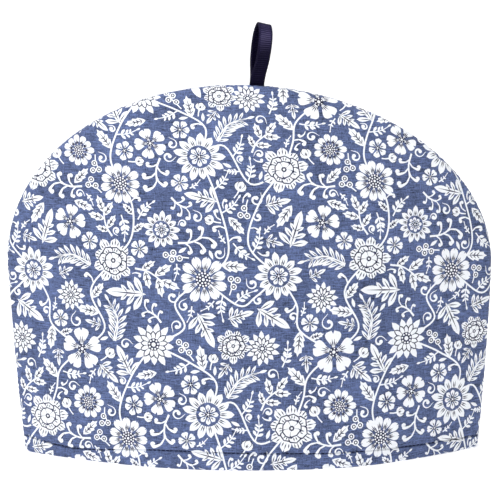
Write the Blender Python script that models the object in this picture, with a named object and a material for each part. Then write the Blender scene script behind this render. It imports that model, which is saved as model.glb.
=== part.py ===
"""Tea cosy: two padded cotton panels sewn face to face along a domed seam and turned out, open along a
stitched hem, with a ribbon hanging loop caught in the seam near the crown.

Metres, +Z up. The seam lies in the plane y = 0, the front panel faces -Y, and the cosy stands on its
hem at z = 0 with the origin in the middle of the opening.
"""

import math

import bmesh
import bpy
from mathutils import Vector

# The seam's outline: sides that lean out from the hem to the widest level, then half an ellipse.
WIDEST_HALF = 0.174
WIDEST_LEVEL = 0.138
DOME_RISE = 0.1265
HEM_HALF = 0.1655
CROWN = WIDEST_LEVEL + DOME_RISE
CORNER_ROUND = 0.0035

# Above this level the outline drifts to the left, by this much per metre squared.
STRAIGHT_LEVEL = 0.110
DRIFT = 0.4

# The padded wall: its bulge from the seam plane, the roll by which it turns into the seam, its thickness.
BULGE_AT_HEM = 0.058
BULGE_AT_CROWN = 0.044
ROLL = 0.005
ROLL_TURN = math.radians(125)
PUFF = ROLL * (1 - math.cos(ROLL_TURN))
WALL = 0.008
SEAM_FACE = 0.007
SEAM_GAP = 0.0003

# The hem: a band under a stitched ditch, thinner than the padding, with a rounded foot.
HEM_HEIGHT = 0.0124
HEM_SLOPE = 0.003
HEM_THINNER = 0.003
HEM_RECESS = 0.0008
DITCH_DEPTH = 0.0009
DITCH_DEEPER_AT_SIDE = 0.0012
DITCH_REACH = 0.0013
FOOT_ROUND = 0.002

# The ribbon loop, sewn into the seam a little right of the crown, leaning and turned to the right.
RIBBON_WIDTH = 0.0105
RIBBON_THICK = 0.001
LEG_SPREAD = 0.0007
LOOP_ROOT_X = 0.0064
LOOP_LEAN = 0.005
LOOP_HEIGHT = 0.042
LOOP_SWELL = 0.0135
LOOP_TURN = math.radians(20)
LOOP_TILT = math.radians(13)
ROOT_DEPTH = 0.005
CLEARANCE = 0.0003

# Soft dents and swells: where on the panel, how wide, how far in or out.
DENT_COLUMNS = ("x", "z", "radius", "rise")
FRONT_DENTS = (
    (0.075, 0.005, 0.065, 0.0045),
    (-0.110, 0.010, 0.045, -0.0016),
    (-0.040, 0.060, 0.038, 0.0010),
    (0.120, 0.085, 0.040, -0.0012),
    (0.020, 0.120, 0.050, -0.0011),
    (-0.105, 0.140, 0.045, 0.0011),
    (0.090, 0.170, 0.042, 0.0012),
    (-0.030, 0.205, 0.040, 0.0009),
)
BACK_DENTS = (
    (0.105, 0.080, 0.044, -0.0012),
    (0.045, 0.040, 0.036, 0.0011),
    (-0.035, 0.070, 0.048, -0.0011),
    (-0.110, 0.050, 0.040, 0.0012),
    (0.070, 0.165, 0.046, 0.0011),
    (-0.060, 0.150, 0.045, 0.0010),
    (-0.010, 0.210, 0.038, -0.0010),
)

# Mesh steps. Hem rows are in heights of the hem, so that they lie close together at its ditch.
ACROSS = 32
HEM_ROWS = (0.0, 0.04, 0.14, 0.4, 0.7, 0.86, 0.94, 1.0, 1.06, 1.14, 1.35, 2.0)
SIDE_STEPS = 7
DOME_STEPS = 7
DOME_CORNER = math.radians(50)
ROLL_STEPS = 6
LOOP_STEPS = 20
RIBBON_COLUMNS = 3


def smooth(t):
    """Eased 0 to 1, held at both ends."""
    t = min(1.0, max(0.0, t))
    return t * t * (3 - 2 * t)


def drift(z):
    """Sideways shift of the whole outline at a level."""
    return -DRIFT * max(0.0, z - STRAIGHT_LEVEL) ** 2


def side_half(z):
    """Half width of the seam's outline at a level below the widest one."""
    t = min(1.0, z / WIDEST_LEVEL)
    return HEM_HALF + (WIDEST_HALF - HEM_HALF) * t * (1.5 - 0.5 * t)


def hem_line(x):
    """Level of the stitched ditch, which falls from left to right."""
    return HEM_HEIGHT - HEM_SLOPE * x / HEM_HALF


def closeness(x, z, inset):
    """0 on the panel's middle line, 1 on the outline drawn in by inset."""
    if z <= WIDEST_LEVEL:
        return (x / (side_half(z) - inset)) ** 2
    return (x / (WIDEST_HALF - inset)) ** 2 + ((z - WIDEST_LEVEL) / (DOME_RISE - inset)) ** 2


def lens(z, extra, near):
    """Bulge of the panel as a share of its depth in the middle at a level. near is 1 at the edge."""
    return (BULGE_AT_HEM + (BULGE_AT_CROWN - BULGE_AT_HEM) * z / CROWN + extra) * max(0.0, 1 - near)


def dent(x, z, dents):
    """Height of the soft dents and swells, which die out towards the seam."""
    total = 0.0
    for row in dents:
        at = dict(zip(DENT_COLUMNS, row))
        away = math.hypot(x - at["x"], z - at["z"]) / at["radius"]
        total += at["rise"] * math.exp(-2 * away**2)
    return total * smooth((1 - closeness(x, z, 0)) * 4)


def outer_depth(x, z, puff, dents):
    """Distance of the outside from the seam plane. puff is the padding's height above the bulge there."""
    line = hem_line(x)
    deepness = DITCH_DEPTH + DITCH_DEEPER_AT_SIDE * (x / HEM_HALF) ** 2
    ditch = deepness * math.exp(-(((z - line) / DITCH_REACH) ** 2))
    recess = HEM_RECESS * (1 - smooth((z - line) / line + 0.5))
    foot = max(0.0, 1 - z / FOOT_ROUND)
    rounding = FOOT_ROUND * (1 - math.sqrt(max(0.0, 1 - foot**2)))
    hem = (ditch + recess + rounding) * puff / PUFF
    return SEAM_GAP / 2 + lens(z, 0, closeness(x, z, 0)) + puff - hem + dent(x, z, dents)


def inner_depth(x, z, dents):
    """Distance of the inside from the seam plane."""
    line = hem_line(x)
    thinner = HEM_THINNER * (1 - smooth((z - line) / line))
    return SEAM_GAP / 2 + lens(z, PUFF - WALL + thinner, closeness(x, z, SEAM_FACE)) + dent(x, z, dents)


def dome_point(angle, inset):
    """A point of the dome's half ellipse, drawn in along its own normal. Angle 0 is at the right."""
    x, z = WIDEST_HALF * math.cos(angle), DOME_RISE * math.sin(angle)
    normal = Vector((x / WIDEST_HALF**2, z / DOME_RISE**2)).normalized()
    return x - normal.x * inset, WIDEST_LEVEL + z - normal.y * inset


def side_point(side, level, inset):
    """A point of the outline's left (side -1) or right (side 1), with the hem's corner rounded off."""
    foot = max(0.0, 1 - level / CORNER_ROUND)
    rounding = CORNER_ROUND * (1 - math.sqrt(max(0.0, 1 - foot**2)))
    fade = max(0.0, 1 - inset / (2 * SEAM_FACE))
    return side * (side_half(level) - inset - rounding * fade), level


def side_column(side, inset):
    """The outline's points from the hem up to the corner of the dome's grid, on one side."""
    hem = [row * hem_line(side * HEM_HALF) for row in HEM_ROWS]
    rise = (WIDEST_LEVEL - hem[-1]) / SIDE_STEPS
    levels = hem + [hem[-1] + rise * (step + 1) for step in range(SIDE_STEPS)]
    column = [side_point(side, level, inset) for level in levels]
    for step in range(DOME_STEPS):
        x, z = dome_point(DOME_CORNER * (step + 1) / DOME_STEPS, inset)
        column.append((side * x, z))
    return column


def core_grid(inset):
    """Rows of (x, z) from the hem up, filling the outline drawn in by inset."""
    left, right = side_column(-1, inset), side_column(1, inset)
    span = math.pi - 2 * DOME_CORNER
    top = [dome_point(math.pi - DOME_CORNER - span * i / ACROSS, inset) for i in range(ACROSS + 1)]
    foot_half = right[0][0]
    corner_half, corner_height = right[-1]
    rows = []
    for j, ((_, left_z), (right_x, right_z)) in enumerate(zip(left, right)):
        row = []
        for i, (top_x, top_z) in enumerate(top):
            u = i / ACROSS
            across = 2 * u - 1
            base = left_z + (right_z - left_z) * u
            v = base / corner_height
            x = (1 - v) * foot_half * across + v * top_x
            x += across * (right_x - (1 - v) * foot_half - v * corner_half)
            z = base + v * (top_z - corner_height)
            if j < len(HEM_ROWS):
                z = HEM_ROWS[j] * hem_line(x)
            row.append((x, z))
        row[0], row[-1] = left[j], right[j]
        rows.append(row)
    rows[-1] = top
    return rows


def seam_path(inset):
    """Points of the outline drawn in by inset, from the hem's left end over the crown to its right end."""
    grid = core_grid(inset)
    return [row[0] for row in grid] + grid[-1][1:-1] + [row[-1] for row in reversed(grid)]


def add_surface(bm, facing, edge_inset, last_turn, depth):
    """One face of a panel's wall: a core grid and the roll round its edge. Returns its rim, in order."""
    def point(x, z, puff):
        return bm.verts.new((x + drift(z), facing * depth(x, z, puff), z))

    core = [[point(x, z, PUFF) for x, z in row] for row in core_grid(edge_inset + ROLL)]
    for lower, upper in zip(core, core[1:]):
        for i in range(ACROSS):
            bm.faces.new((lower[i], lower[i + 1], upper[i + 1], upper[i]))
    ring = [row[0] for row in core] + core[-1][1:-1] + [row[-1] for row in reversed(core)]
    hem_left, hem_right = [], []
    for step in range(1, ROLL_STEPS + 1):
        turn = last_turn * step / ROLL_STEPS
        puff = PUFF - ROLL * (1 - math.cos(turn))
        path = seam_path(edge_inset + ROLL * (1 - math.sin(turn)))
        outer = [point(x, z, puff) for x, z in path]
        for m in range(len(path) - 1):
            bm.faces.new((ring[m], ring[m + 1], outer[m + 1], outer[m]))
        hem_left.append(outer[0])
        hem_right.append(outer[-1])
        ring = outer
    foot = hem_left[-2::-1] + core[0] + hem_right[:-1]
    return ring + foot[::-1]


def finish_mesh(name, bm, material):
    """Turns a bmesh into a linked, smooth-shaded object."""
    bmesh.ops.recalc_face_normals(bm, faces=bm.faces)
    mesh = bpy.data.meshes.new(name)
    bm.to_mesh(mesh)
    bm.free()
    mesh.materials.append(material)
    mesh.shade_smooth()
    mesh.set_sharp_from_angle(angle=math.radians(50))
    made = bpy.data.objects.new(name, mesh)
    bpy.context.scene.collection.objects.link(made)
    return made


def panel(name, facing, dents, material):
    """A padded panel as one closed wall, bulging towards -Y (facing -1) or +Y (facing 1)."""
    def outside(x, z, puff):
        return outer_depth(x, z, puff, dents)

    def inside(x, z, _):
        return inner_depth(x, z, dents)

    bm = bmesh.new()
    outer = add_surface(bm, facing, 0.0, ROLL_TURN, outside)
    inner = add_surface(bm, facing, SEAM_FACE, math.pi / 2, inside)
    for m in range(len(outer)):
        after = (m + 1) % len(outer)
        bm.faces.new((outer[m], outer[after], inner[after], inner[m]))
    return finish_mesh(name, bm, material)


def half_loop():
    """The ribbon's middle line from its sewn end to the top fold, as (distance from the seam plane, z)."""
    root = Vector((LEG_SPREAD, CROWN - ROOT_DEPTH))
    mouth = Vector((LEG_SPREAD, CROWN + CLEARANCE))
    top = Vector((0.0, CROWN + LOOP_HEIGHT - RIBBON_THICK / 2))
    rise = mouth + Vector((0.0, LOOP_HEIGHT * 0.45))
    reach = top + Vector((LOOP_SWELL, 0.0))
    points = [root]
    for step in range(LOOP_STEPS + 1):
        t = step / LOOP_STEPS
        s = 1 - t
        points.append(s**3 * mouth + 3 * s * s * t * rise + 3 * s * t * t * reach + t**3 * top)
    return points


def ribbon_loop(material):
    """The hanging loop: one strip of ribbon, up in front, over and down behind."""
    half = half_loop()
    line = [(-away, z) for away, z in half] + [(away, z) for away, z in reversed(half[:-1])]
    bm = bmesh.new()
    rows = []
    for away, z in line:
        share = max(0.0, (z - CROWN) / LOOP_HEIGHT)
        turn, tilt = LOOP_TURN * smooth(share * 1.6), LOOP_TILT * share**2
        x = LOOP_ROOT_X + LOOP_LEAN * share
        middle = Vector((x - away * math.sin(turn), away * math.cos(turn), z))
        along = Vector((math.cos(turn), math.sin(turn), -math.tan(tilt))).normalized() * RIBBON_WIDTH
        across = [column / RIBBON_COLUMNS - 0.5 for column in range(RIBBON_COLUMNS + 1)]
        rows.append([bm.verts.new(middle + along * part) for part in across])
    for lower, upper in zip(rows, rows[1:]):
        for i in range(RIBBON_COLUMNS):
            bm.faces.new((lower[i], lower[i + 1], upper[i + 1], upper[i]))
    made = finish_mesh("hanging_loop", bm, material)
    wall = made.modifiers.new("Ribbon", "SOLIDIFY")
    wall.thickness = RIBBON_THICK
    wall.offset = 0.0
    wall.use_even_offset = True


def root_pocket():
    """The space that the ribbon's sewn ends take between the panels, as a cutter."""
    half = Vector((
        RIBBON_WIDTH / 2 + CLEARANCE,
        LEG_SPREAD + RIBBON_THICK / 2 + CLEARANCE,
        ROOT_DEPTH,
    ))
    bottom = CROWN - ROOT_DEPTH - CLEARANCE
    bm = bmesh.new()
    bmesh.ops.create_cube(bm, size=2.0)
    bmesh.ops.scale(bm, vec=half, verts=bm.verts)
    bmesh.ops.translate(bm, vec=(LOOP_ROOT_X, 0.0, bottom + half.z), verts=bm.verts)
    mesh = bpy.data.meshes.new("root_pocket")
    bm.to_mesh(mesh)
    bm.free()
    cutter = bpy.data.objects.new("root_pocket", mesh)
    bpy.context.scene.collection.objects.link(cutter)
    cutter.hide_render = True
    cutter.display_type = "WIRE"
    return cutter


def cloth_material(name, colour, roughness):
    """A plain cloth finish."""
    made = bpy.data.materials.new(name)
    made.use_nodes = True
    shader = made.node_tree.nodes["Principled BSDF"]
    shader.inputs["Base Color"].default_value = (*colour, 1)
    shader.inputs["Roughness"].default_value = roughness
    shader.inputs["Metallic"].default_value = 0.0
    return made


def main():
    for old in list(bpy.data.objects):
        bpy.data.objects.remove(old)
    cotton = cloth_material("printed_cotton", (0.27, 0.33, 0.52), 0.9)
    ribbon = cloth_material("navy_ribbon", (0.012, 0.010, 0.030), 0.55)
    front = panel("front_panel", -1, FRONT_DENTS, cotton)
    back = panel("back_panel", 1, BACK_DENTS, cotton)
    ribbon_loop(ribbon)
    pocket = root_pocket()
    for wall in (front, back):
        cut = wall.modifiers.new("Pocket", "BOOLEAN")
        cut.operation = "DIFFERENCE"
        cut.solver = "EXACT"
        cut.object = pocket


main()
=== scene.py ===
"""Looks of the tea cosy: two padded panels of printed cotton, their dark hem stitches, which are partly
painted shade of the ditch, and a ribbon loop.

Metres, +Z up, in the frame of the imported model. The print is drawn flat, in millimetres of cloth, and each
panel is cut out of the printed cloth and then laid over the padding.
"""

import cmath
import math
import random

import bpy
import numpy as np
from mathutils import Matrix, Vector
from mathutils.geometry import delaunay_2d_cdt


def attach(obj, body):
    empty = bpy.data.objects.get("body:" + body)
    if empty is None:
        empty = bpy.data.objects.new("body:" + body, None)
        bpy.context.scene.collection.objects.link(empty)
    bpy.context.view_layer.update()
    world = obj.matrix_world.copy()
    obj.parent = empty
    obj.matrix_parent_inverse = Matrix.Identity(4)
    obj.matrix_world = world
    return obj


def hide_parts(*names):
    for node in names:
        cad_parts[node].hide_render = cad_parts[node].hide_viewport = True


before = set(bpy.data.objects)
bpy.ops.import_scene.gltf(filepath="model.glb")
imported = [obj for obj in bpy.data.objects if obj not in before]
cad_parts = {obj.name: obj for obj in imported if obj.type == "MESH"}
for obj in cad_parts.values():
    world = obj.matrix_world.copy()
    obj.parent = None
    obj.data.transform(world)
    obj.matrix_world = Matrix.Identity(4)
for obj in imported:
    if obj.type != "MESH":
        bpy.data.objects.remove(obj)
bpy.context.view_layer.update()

# The seam's outline: sides that lean out from the hem to the widest level, then half an ellipse.
WIDEST_HALF = 0.174
WIDEST_LEVEL = 0.138
DOME_RISE = 0.1265
HEM_HALF = 0.1655
CROWN = WIDEST_LEVEL + DOME_RISE
CORNER_ROUND = 0.0035
STRAIGHT_LEVEL = 0.110
DRIFT = 0.4

# The padding: its bulge from the seam plane, the roll by which it turns into the seam, the seam's faces.
BULGE_AT_HEM = 0.058
BULGE_AT_CROWN = 0.044
ROLL = 0.005
ROLL_TURN = math.radians(125)
PUFF = ROLL * (1 - math.cos(ROLL_TURN))
ROLL_REACH = ROLL * ROLL_TURN
WALL = 0.008
SEAM_FACE = 0.007
SEAM_GAP = 0.0001

# The hem: a band under a stitched ditch, thinner than the padding, with a rounded foot. The ditch slopes and
# sags at the left.
HEM_HEIGHT = 0.0124
HEM_SLOPE = 0.003
HEM_SAG = 0.0065
HEM_SAG_AT = -0.128
HEM_SAG_REACH = 0.042
HEM_THINNER = 0.003
HEM_RECESS = 0.0008
DITCH_DEPTH = 0.0012
DITCH_DEEPER_AT_SIDE = 0.0010
DITCH_REACH = 0.0005
FOOT_ROUND = 0.002

# Soft dents and swells: x and z on the panel, how wide, how far in or out.
FRONT_DENTS = (
    (0.075, 0.005, 0.065, 0.0045),
    (-0.110, 0.010, 0.045, -0.0016),
    (-0.040, 0.060, 0.038, 0.0010),
    (0.120, 0.085, 0.040, -0.0012),
    (0.020, 0.120, 0.050, -0.0011),
    (-0.105, 0.140, 0.045, 0.0011),
    (0.090, 0.170, 0.042, 0.0012),
    (-0.030, 0.205, 0.040, 0.0009),
)
BACK_DENTS = (
    (0.105, 0.080, 0.044, -0.0012),
    (0.045, 0.040, 0.036, 0.0011),
    (-0.035, 0.070, 0.048, -0.0011),
    (-0.110, 0.050, 0.040, 0.0012),
    (0.070, 0.165, 0.046, 0.0011),
    (-0.060, 0.150, 0.045, 0.0010),
    (-0.010, 0.210, 0.038, -0.0010),
)

# Puckers that the seam's stitches draw up: how high, how far in they reach, and their unlike lengths.
PUCKER = 0.00038
PUCKER_FADE = 0.5
PUCKER_FADES_FROM = 0.20
PUCKER_FADE_LENGTH = 0.06
PUCKER_SURGE = 0.4
PUCKER_SURGE_LENGTH = 0.083
PUCKER_INWARD = 0.009
PUCKER_EASE_INWARD = 0.013
PUCKER_EASE_OUTWARD = 0.004
PUCKER_WANDER = 2.2
PUCKER_WAVES = ((0.0035, 0.50, 0.031), (0.0053, 0.32, 0.047), (0.0089, 0.18, 0.073))

# The ribbon loop, sewn into the seam a little right of the crown, leaning and turned to the right.
RIBBON_WIDTH = 0.0105
RIBBON_THICK = 0.001
RIB_PITCH = 0.00145
RIB_HEIGHT = 0.00035
LEG_SPREAD = 0.0007
LEG_PARTING = 0.0068
LOOP_ROOT_X = 0.0060
LOOP_LEAN = 0.0056
LOOP_HEIGHT = 0.0433
LOOP_SWELL = 0.0105
LOOP_SHOULDER = 0.005
LOOP_TURN = math.radians(20)
LOOP_TILT = math.radians(13)
ROOT_DEPTH = 0.005
MOUTH_HALF = 0.0085
MOUTH_FROM_TURN = 1.2

# Mesh steps along the cloth: over the padding, along the seam and in rows out from the padding's edge, along
# the hem, and along the foot with a finer part at its corners.
CORE_STEP = 0.004
SEAM_STEP = 0.0009
SEAM_FINE_FROM = -0.005
SEAM_ROWS = (-0.009, -0.006, -0.0037, -0.0018, *np.arange(8) * 0.0013, 0.01)
HEM_STEP = 0.003
HEM_REACH = 0.19
FOOT_STEP = 0.0025
FOOT_FINE = 0.012
FOOT_CLEAR = 0.0003
DITCH_BAND = 0.0013
DITCH_STEP = 0.00035
INSIDE_STEP = 0.008

# The panels are cut in millimetres: how many are in a metre, and how near places become one.
MM = 1000
CUT_TOLERANCE = 0.00001

# The inside's mesh: its steps along each side and dome, along its foot, and how far out its grid goes.
INSIDE_SIDE_STEPS, INSIDE_DOME_STEPS, INSIDE_FOOT_STEPS = 30, 46, 48
INSIDE_GRID_OUT = 0.94

# The map for the bake: the outside over its whole width, with the inside and the rim above it.
BAKE_EDGE = 0.01
BAKE_INSIDE_AT = (0.15, 0.765)
BAKE_INSIDE_SCALE = 0.8
BAKE_RIM_AT = (0.35, 0.8)
BAKE_RIM_LENGTH = 0.155
BAKE_RIM_SCALE = 2.0

# Rows at the hem, as shares of the ditch's level, closest at the ditch.
HEM_ROWS = (0.04, 0.1, 0.2, 0.4, 0.6, 0.76, 0.86, 0.91, 0.945, 0.965, 0.98)
HEM_ROWS += (1.0, 1.02, 1.035, 1.055, 1.09, 1.14, 1.24, 1.45, 1.75)

# The hem's dark stitches: partly its thread, partly painted shade of the ditch, so one is left out where more
# than this share of the cloth is pale.
STITCH_PITCH = 0.0031
STITCH_LENGTH = 0.0028
STITCH_THICK = 0.00070
STITCH_RAISED = 0.0003
PALE_SHARE = 0.4


# ---------------------------------------------------------------- the print

# The printed repeat, in millimetres of flat cloth. A leaf on a stem may share a few of its cells with its
# neighbours, and a filling motif goes to one of the places that are nearly as snug as the best.
REPEAT = 180.0
CELL = 0.75
CELLS = round(REPEAT / CELL)
STEM_WIDTH = 1.3
LEAF_SPACING = 10
LEAF_GAP = 1.2
LEAF_CROWDING = 24
SNUG_ENOUGH = 0.93
GROUND, WHITE, LINE = 0, 1, 2


def moved(shapes, turn=0.0, at=0j, mirrored=False):
    """Shapes mirrored, turned, then moved. A shape is its tone and its outline of complex points."""
    swing = cmath.rect(1, turn)
    return [(tone, (np.conj(line) if mirrored else line) * swing + at) for tone, line in shapes]


def blade(length, width, fullest=1.5, fullness=0.7, steps=7, start=0.0):
    """Petal or leaf outline along +x. fullest over 1 puts its widest place towards the tip."""
    t = np.linspace(0, 1, steps + 1)[1:-1]
    edge = start + t * length + 0.5j * width * np.sin(math.pi * t**fullest) ** fullness
    return np.concatenate([[start], edge, [start + length], np.conj(edge[::-1])])


def disc(radius, at=0j, corners=10):
    return at + radius * np.exp(2j * math.pi * np.arange(corners) / corners)


def mark(start, end, width=0.85, fullest=0.45):
    """A slim pointed streak between two places."""
    side = 0.5j * width * (end - start) / abs(end - start)
    middle = start + (end - start) * fullest
    return LINE, np.array([start, middle + side, end, middle - side])


def curve(places, steps=5):
    """A smooth line through a few places."""
    ends = [2 * places[0] - places[1], *places, 2 * places[-1] - places[-2]]
    line = []
    for a, b, c, d in zip(ends, ends[1:], ends[2:], ends[3:]):
        for t in np.arange(steps) / steps:
            bent = 2 * b + (c - a) * t + (2 * a - 5 * b + 4 * c - d) * t**2 + (3 * b - a - 3 * c + d) * t**3
            line.append(bent / 2)
    return np.array([*line, places[-1]])


def band(line, widths):
    """A stem of changing width along a line."""
    heading = np.gradient(line)
    side = 0.5j * np.asarray(widths) * heading / np.abs(heading)
    return WHITE, np.concatenate([line + side, (line - side)[::-1]])


def streaks(turn, start, length, spread, count, width=0.85):
    """Dark streaks that fan out from a flower's middle."""
    fan = np.arange(count) - (count - 1) / 2
    swings = np.exp(1j * (turn + fan * spread))
    reaches = start + length * (1 - 0.25 * np.abs(fan))
    return [mark(start * swing, reach * swing, width) for swing, reach in zip(swings, reaches)]


def seeds(radius, count, size):
    """A ring of pale seeds."""
    return [(WHITE, disc(size, spot, 6)) for spot in radius * np.exp(2j * math.pi * np.arange(count) / count)]


def flower_eye(radius, count=8):
    """A dark disc with a ring of pale seeds round a pale button."""
    button = (WHITE, disc(0.36 * radius, corners=7))
    return [(LINE, disc(radius, corners=12)), *seeds(0.72 * radius, count, 0.17 * radius), button]


def seeded_eye(radius):
    """A large dark disc with two rings of pale seeds."""
    shapes = [(LINE, disc(radius, corners=18)), *seeds(0.80 * radius, 13, 0.135 * radius)]
    return shapes + seeds(0.46 * radius, 7, 0.135 * radius) + [(WHITE, disc(0.2 * radius, corners=6))]


def room(radius, count):
    """Half the width that each petal of a ring has at its tip."""
    return math.tan(math.pi / count) * radius


def petals(
    radius, count, width, form, root=0.0, start=0.0, shed=0.04, order=5, first=0.0, rim=None, notch=None
):
    """A ring of pale petals, two in three a little short. They begin at a share of their reach or at a
    distance. A rim sets each on a larger dark one, and a notch cuts its tip."""
    shapes = []
    for k in range(count):
        swing = cmath.rect(1, (k + first) * (2 * math.pi / count))
        reach = radius * (1 - shed * (order * k % 3))
        begin = start + root * reach
        if rim:
            longer, wider, fullest = rim
            dark = blade(reach - begin + longer, width + wider, fullest, *form[1:], begin)
            shapes.append((LINE, dark * swing))
        shapes.append((WHITE, blade(reach - begin, width, *form, begin) * swing))
        if notch:
            tip, inner, half = notch
            side = half * width * 1j
            shapes.append((GROUND, np.array([tip * reach - side, inner * reach, tip * reach + side]) * swing))
    return shapes


def fans(radius, count, start, length, spread, lines, first=0.0):
    """Dark streaks on each petal of a ring, in shares of its radius and of a petal's turn."""
    shapes = []
    step = 2 * math.pi / count
    for k in range(count):
        shapes += streaks((k + first) * step, start * radius, length * radius, spread * step, lines)
    return shapes


def round_flower(radius, count=8, eye=0.27):
    """Daisy of rounded, parted petals, with dark streaks from its middle."""
    shapes = petals(radius, count, 1.12 * room(radius, count), (1.8, 0.62, 5), start=0.24 * radius)
    return shapes + fans(radius, count, eye, 0.38, 0.18, 1) + flower_eye(0.88 * radius * eye, 5)


def rayed_flower(radius, count=11):
    """Large daisy: notched petals with a fan of dark streaks, round a seeded eye."""
    width = 1.28 * room(radius, count)
    shapes = petals(radius, count, width, (1.7, 0.6, 7), 0.3, notch=(1.04, 0.88, 0.12))
    return shapes + fans(radius, count, 0.34, 0.36, 0.2, 3) + seeded_eye(0.32 * radius)


def ringed_flower(radius, count=13):
    """Large flower: toothed outer petals, a ring of ground, a small inner flower."""
    shapes = petals(radius, count, 1.22 * room(radius, count), (1.35, 0.66, 6), 0.28, shed=0.05)
    shapes += fans(radius, count, 0.42, 0.36, 0.24, 2)
    return [*shapes, (GROUND, disc(0.46 * radius, corners=20)), *round_flower(0.40 * radius, 8, 0.34)]


def star_flower(radius, count=13):
    """Aster of two rings of narrow pointed petals."""
    width = 1.15 * room(radius, count)
    shapes = petals(radius, count, width, (1.3, 0.85, 5), 0.2, shed=0.06, order=7)
    inner = 0.64 * radius
    shapes += petals(
        inner, count, 0.9 * width - 1.3, (1.4, 0.8, 5), 0.2, shed=0.08, first=0.5, rim=(0.9, 1.3, 1.4))
    return shapes + flower_eye(0.27 * radius, 9)


def full_flower(radius, count=9):
    """Double flower: notched outer petals, an inner ring, and a folded heart."""
    inner, heart = 0.62 * radius, 0.36 * radius
    common = {"form": (2.0, 0.55, 6), "shed": 0.07}
    rim = (0.8, 1.7, 1.9)
    shapes = petals(radius, count, 1.18 * room(radius, count), **common, notch=(1.04, 0.86, 0.10))
    shapes += fans(radius, count, 0.60, 0.28, 0.25, 3)
    shapes += petals(inner, count - 2, 1.5 * room(inner, count - 2), **common, first=0.4, rim=rim)
    shapes += fans(radius, count - 2, 0.36, 0.18, 0.25, 2, 0.4)
    shapes += petals(heart, 5, 1.6 * room(heart, 5), **common, first=0.1, rim=rim)
    return [*shapes, (LINE, disc(0.11 * radius, corners=7)), (WHITE, disc(0.05 * radius, corners=5))]


def wide_flower(radius):
    """Open flower of five broad notched petals."""
    steps, lines = (8, 4) if radius > 9 else (6, 1)
    notch = (1.05, 0.82, 0.1 / 0.76)
    shapes = petals(radius, 5, 0.76 * radius, (2.1, 0.55, steps), 0.14, shed=0.0, notch=notch)
    return shapes + fans(radius, 5, 0.22, 0.46, 0.5 / math.pi, lines) + flower_eye(0.22 * radius, 6)


def pointed(length, share, turn, at, fullest=1.3, fullness=0.8):
    """A pale pointed leaf, its width a share of its length."""
    return WHITE, blade(length, share * length, fullest, fullness, 5) * cmath.rect(1, turn) + at


def toothed(length, width, teeth):
    """Leaf outline along +x whose edges are cut into forward teeth."""
    t = (np.arange(2 * teeth) + 0.6) / (2 * teeth + 0.4)
    half = 0.5 * width * np.sin(math.pi * t**0.85) ** 0.75
    notched = np.arange(2 * teeth) % 2 == 1
    lean = np.where(notched, -0.3, 0.3) / (2 * teeth)
    edge = length * (t + lean) + 1j * half * np.where(notched, 0.74, 1.06)
    return np.concatenate([[0], edge, [length], np.conj(edge[::-1])])


def veined_leaf(length, width, veins=3):
    """Toothed leaf with a dark midrib and side veins."""
    shapes = [(WHITE, toothed(length, width, veins + 1)), mark(0.06 * length, 0.86 * length, 0.95)]
    for x in length * (0.16 + 0.5 * np.arange(veins) / veins):
        for side in (1j, -1j):
            shapes.append(mark(x, x + 0.15 * length + 0.30 * width * side, 0.75))
    return shapes


def lobed_leaf(length, pairs=3, breadth=0.8):
    """Leaf of pointed lobes, each with its dark vein."""
    shapes = [(WHITE, blade(0.84 * length, 0.16 * length, 0.9, 0.7, 5))]
    shapes.append((WHITE, blade(0.6 * length, 0.27 * length * breadth, 1.1, 0.8, 6) + 0.4 * length))
    veins = [mark(0.04 * length, 0.88 * length, 1.0)]
    for k in range(pairs):
        root = length * (0.08 + 0.54 * k / pairs)
        reach = length * breadth * (0.56 - 0.12 * k)
        for side in (1, -1):
            turn = side * math.radians(62 - 8 * k)
            shapes.append(pointed(reach, 0.36, turn, root, 1.35, 0.75))
            veins.append(mark(root, root + 0.78 * reach * cmath.rect(1, turn), 0.8))
    return shapes + veins


def feathered_leaf(length, lobes=7, bend=0.35):
    """Long leaf that curves to one side, cut into narrow lobes along both edges."""
    spine = curve([0j, length * (0.5 + 0.5j * bend), length * (1 + 0.15j * bend)], 8)
    shapes = [band(spine, np.linspace(2.6, 0.8, len(spine)))]
    veins = [mark(spine[k], spine[k + 4], 0.6) for k in range(1, len(spine) - 5, 5)]
    for k in range(lobes):
        share = 0.06 + 0.84 * k / lobes
        step = int(share * (len(spine) - 1))
        heading = spine[step + 1] - spine[step]
        reach = length * (0.34 - 0.20 * abs(share - 0.35))
        for side in (1, -1):
            turn, at = cmath.phase(heading) + side * 0.8, spine[step]
            shapes.append(pointed(reach, 0.27, turn, at))
            veins.append(mark(at + cmath.rect(0.1 * reach, turn), at + cmath.rect(0.72 * reach, turn), 0.75))
    tip = blade(0.2 * length, 0.07 * length, 1.0, 0.8, 5)
    return [*shapes, (WHITE, tip * heading / abs(heading) + spine[-2]), *veins]


def sprig(length, pairs=4, leaf=0.3, bend=0.25):
    """Curved stem with small leaves in pairs and one at its tip."""
    stem = curve([0j, length * (0.5 + 0.5j * bend), length * (0.92 + 0.35j * bend)], 5)
    shapes = [band(stem, np.linspace(1.0, 0.6, len(stem)))]
    for k in range(pairs):
        step = round((0.2 + 0.66 * k / pairs) * (len(stem) - 1))
        heading = cmath.phase(stem[step + 1] - stem[step])
        for side in (1, -1):
            size = length * leaf * (1 - 0.45 * k / pairs)
            shapes.append(pointed(size, 0.42, heading + side * 0.85, stem[step]))
    heading = cmath.phase(stem[-1] - stem[-2])
    return [*shapes, pointed(0.75 * length * leaf, 0.4, heading, 0.98 * stem[-1], 1.2)]


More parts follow.
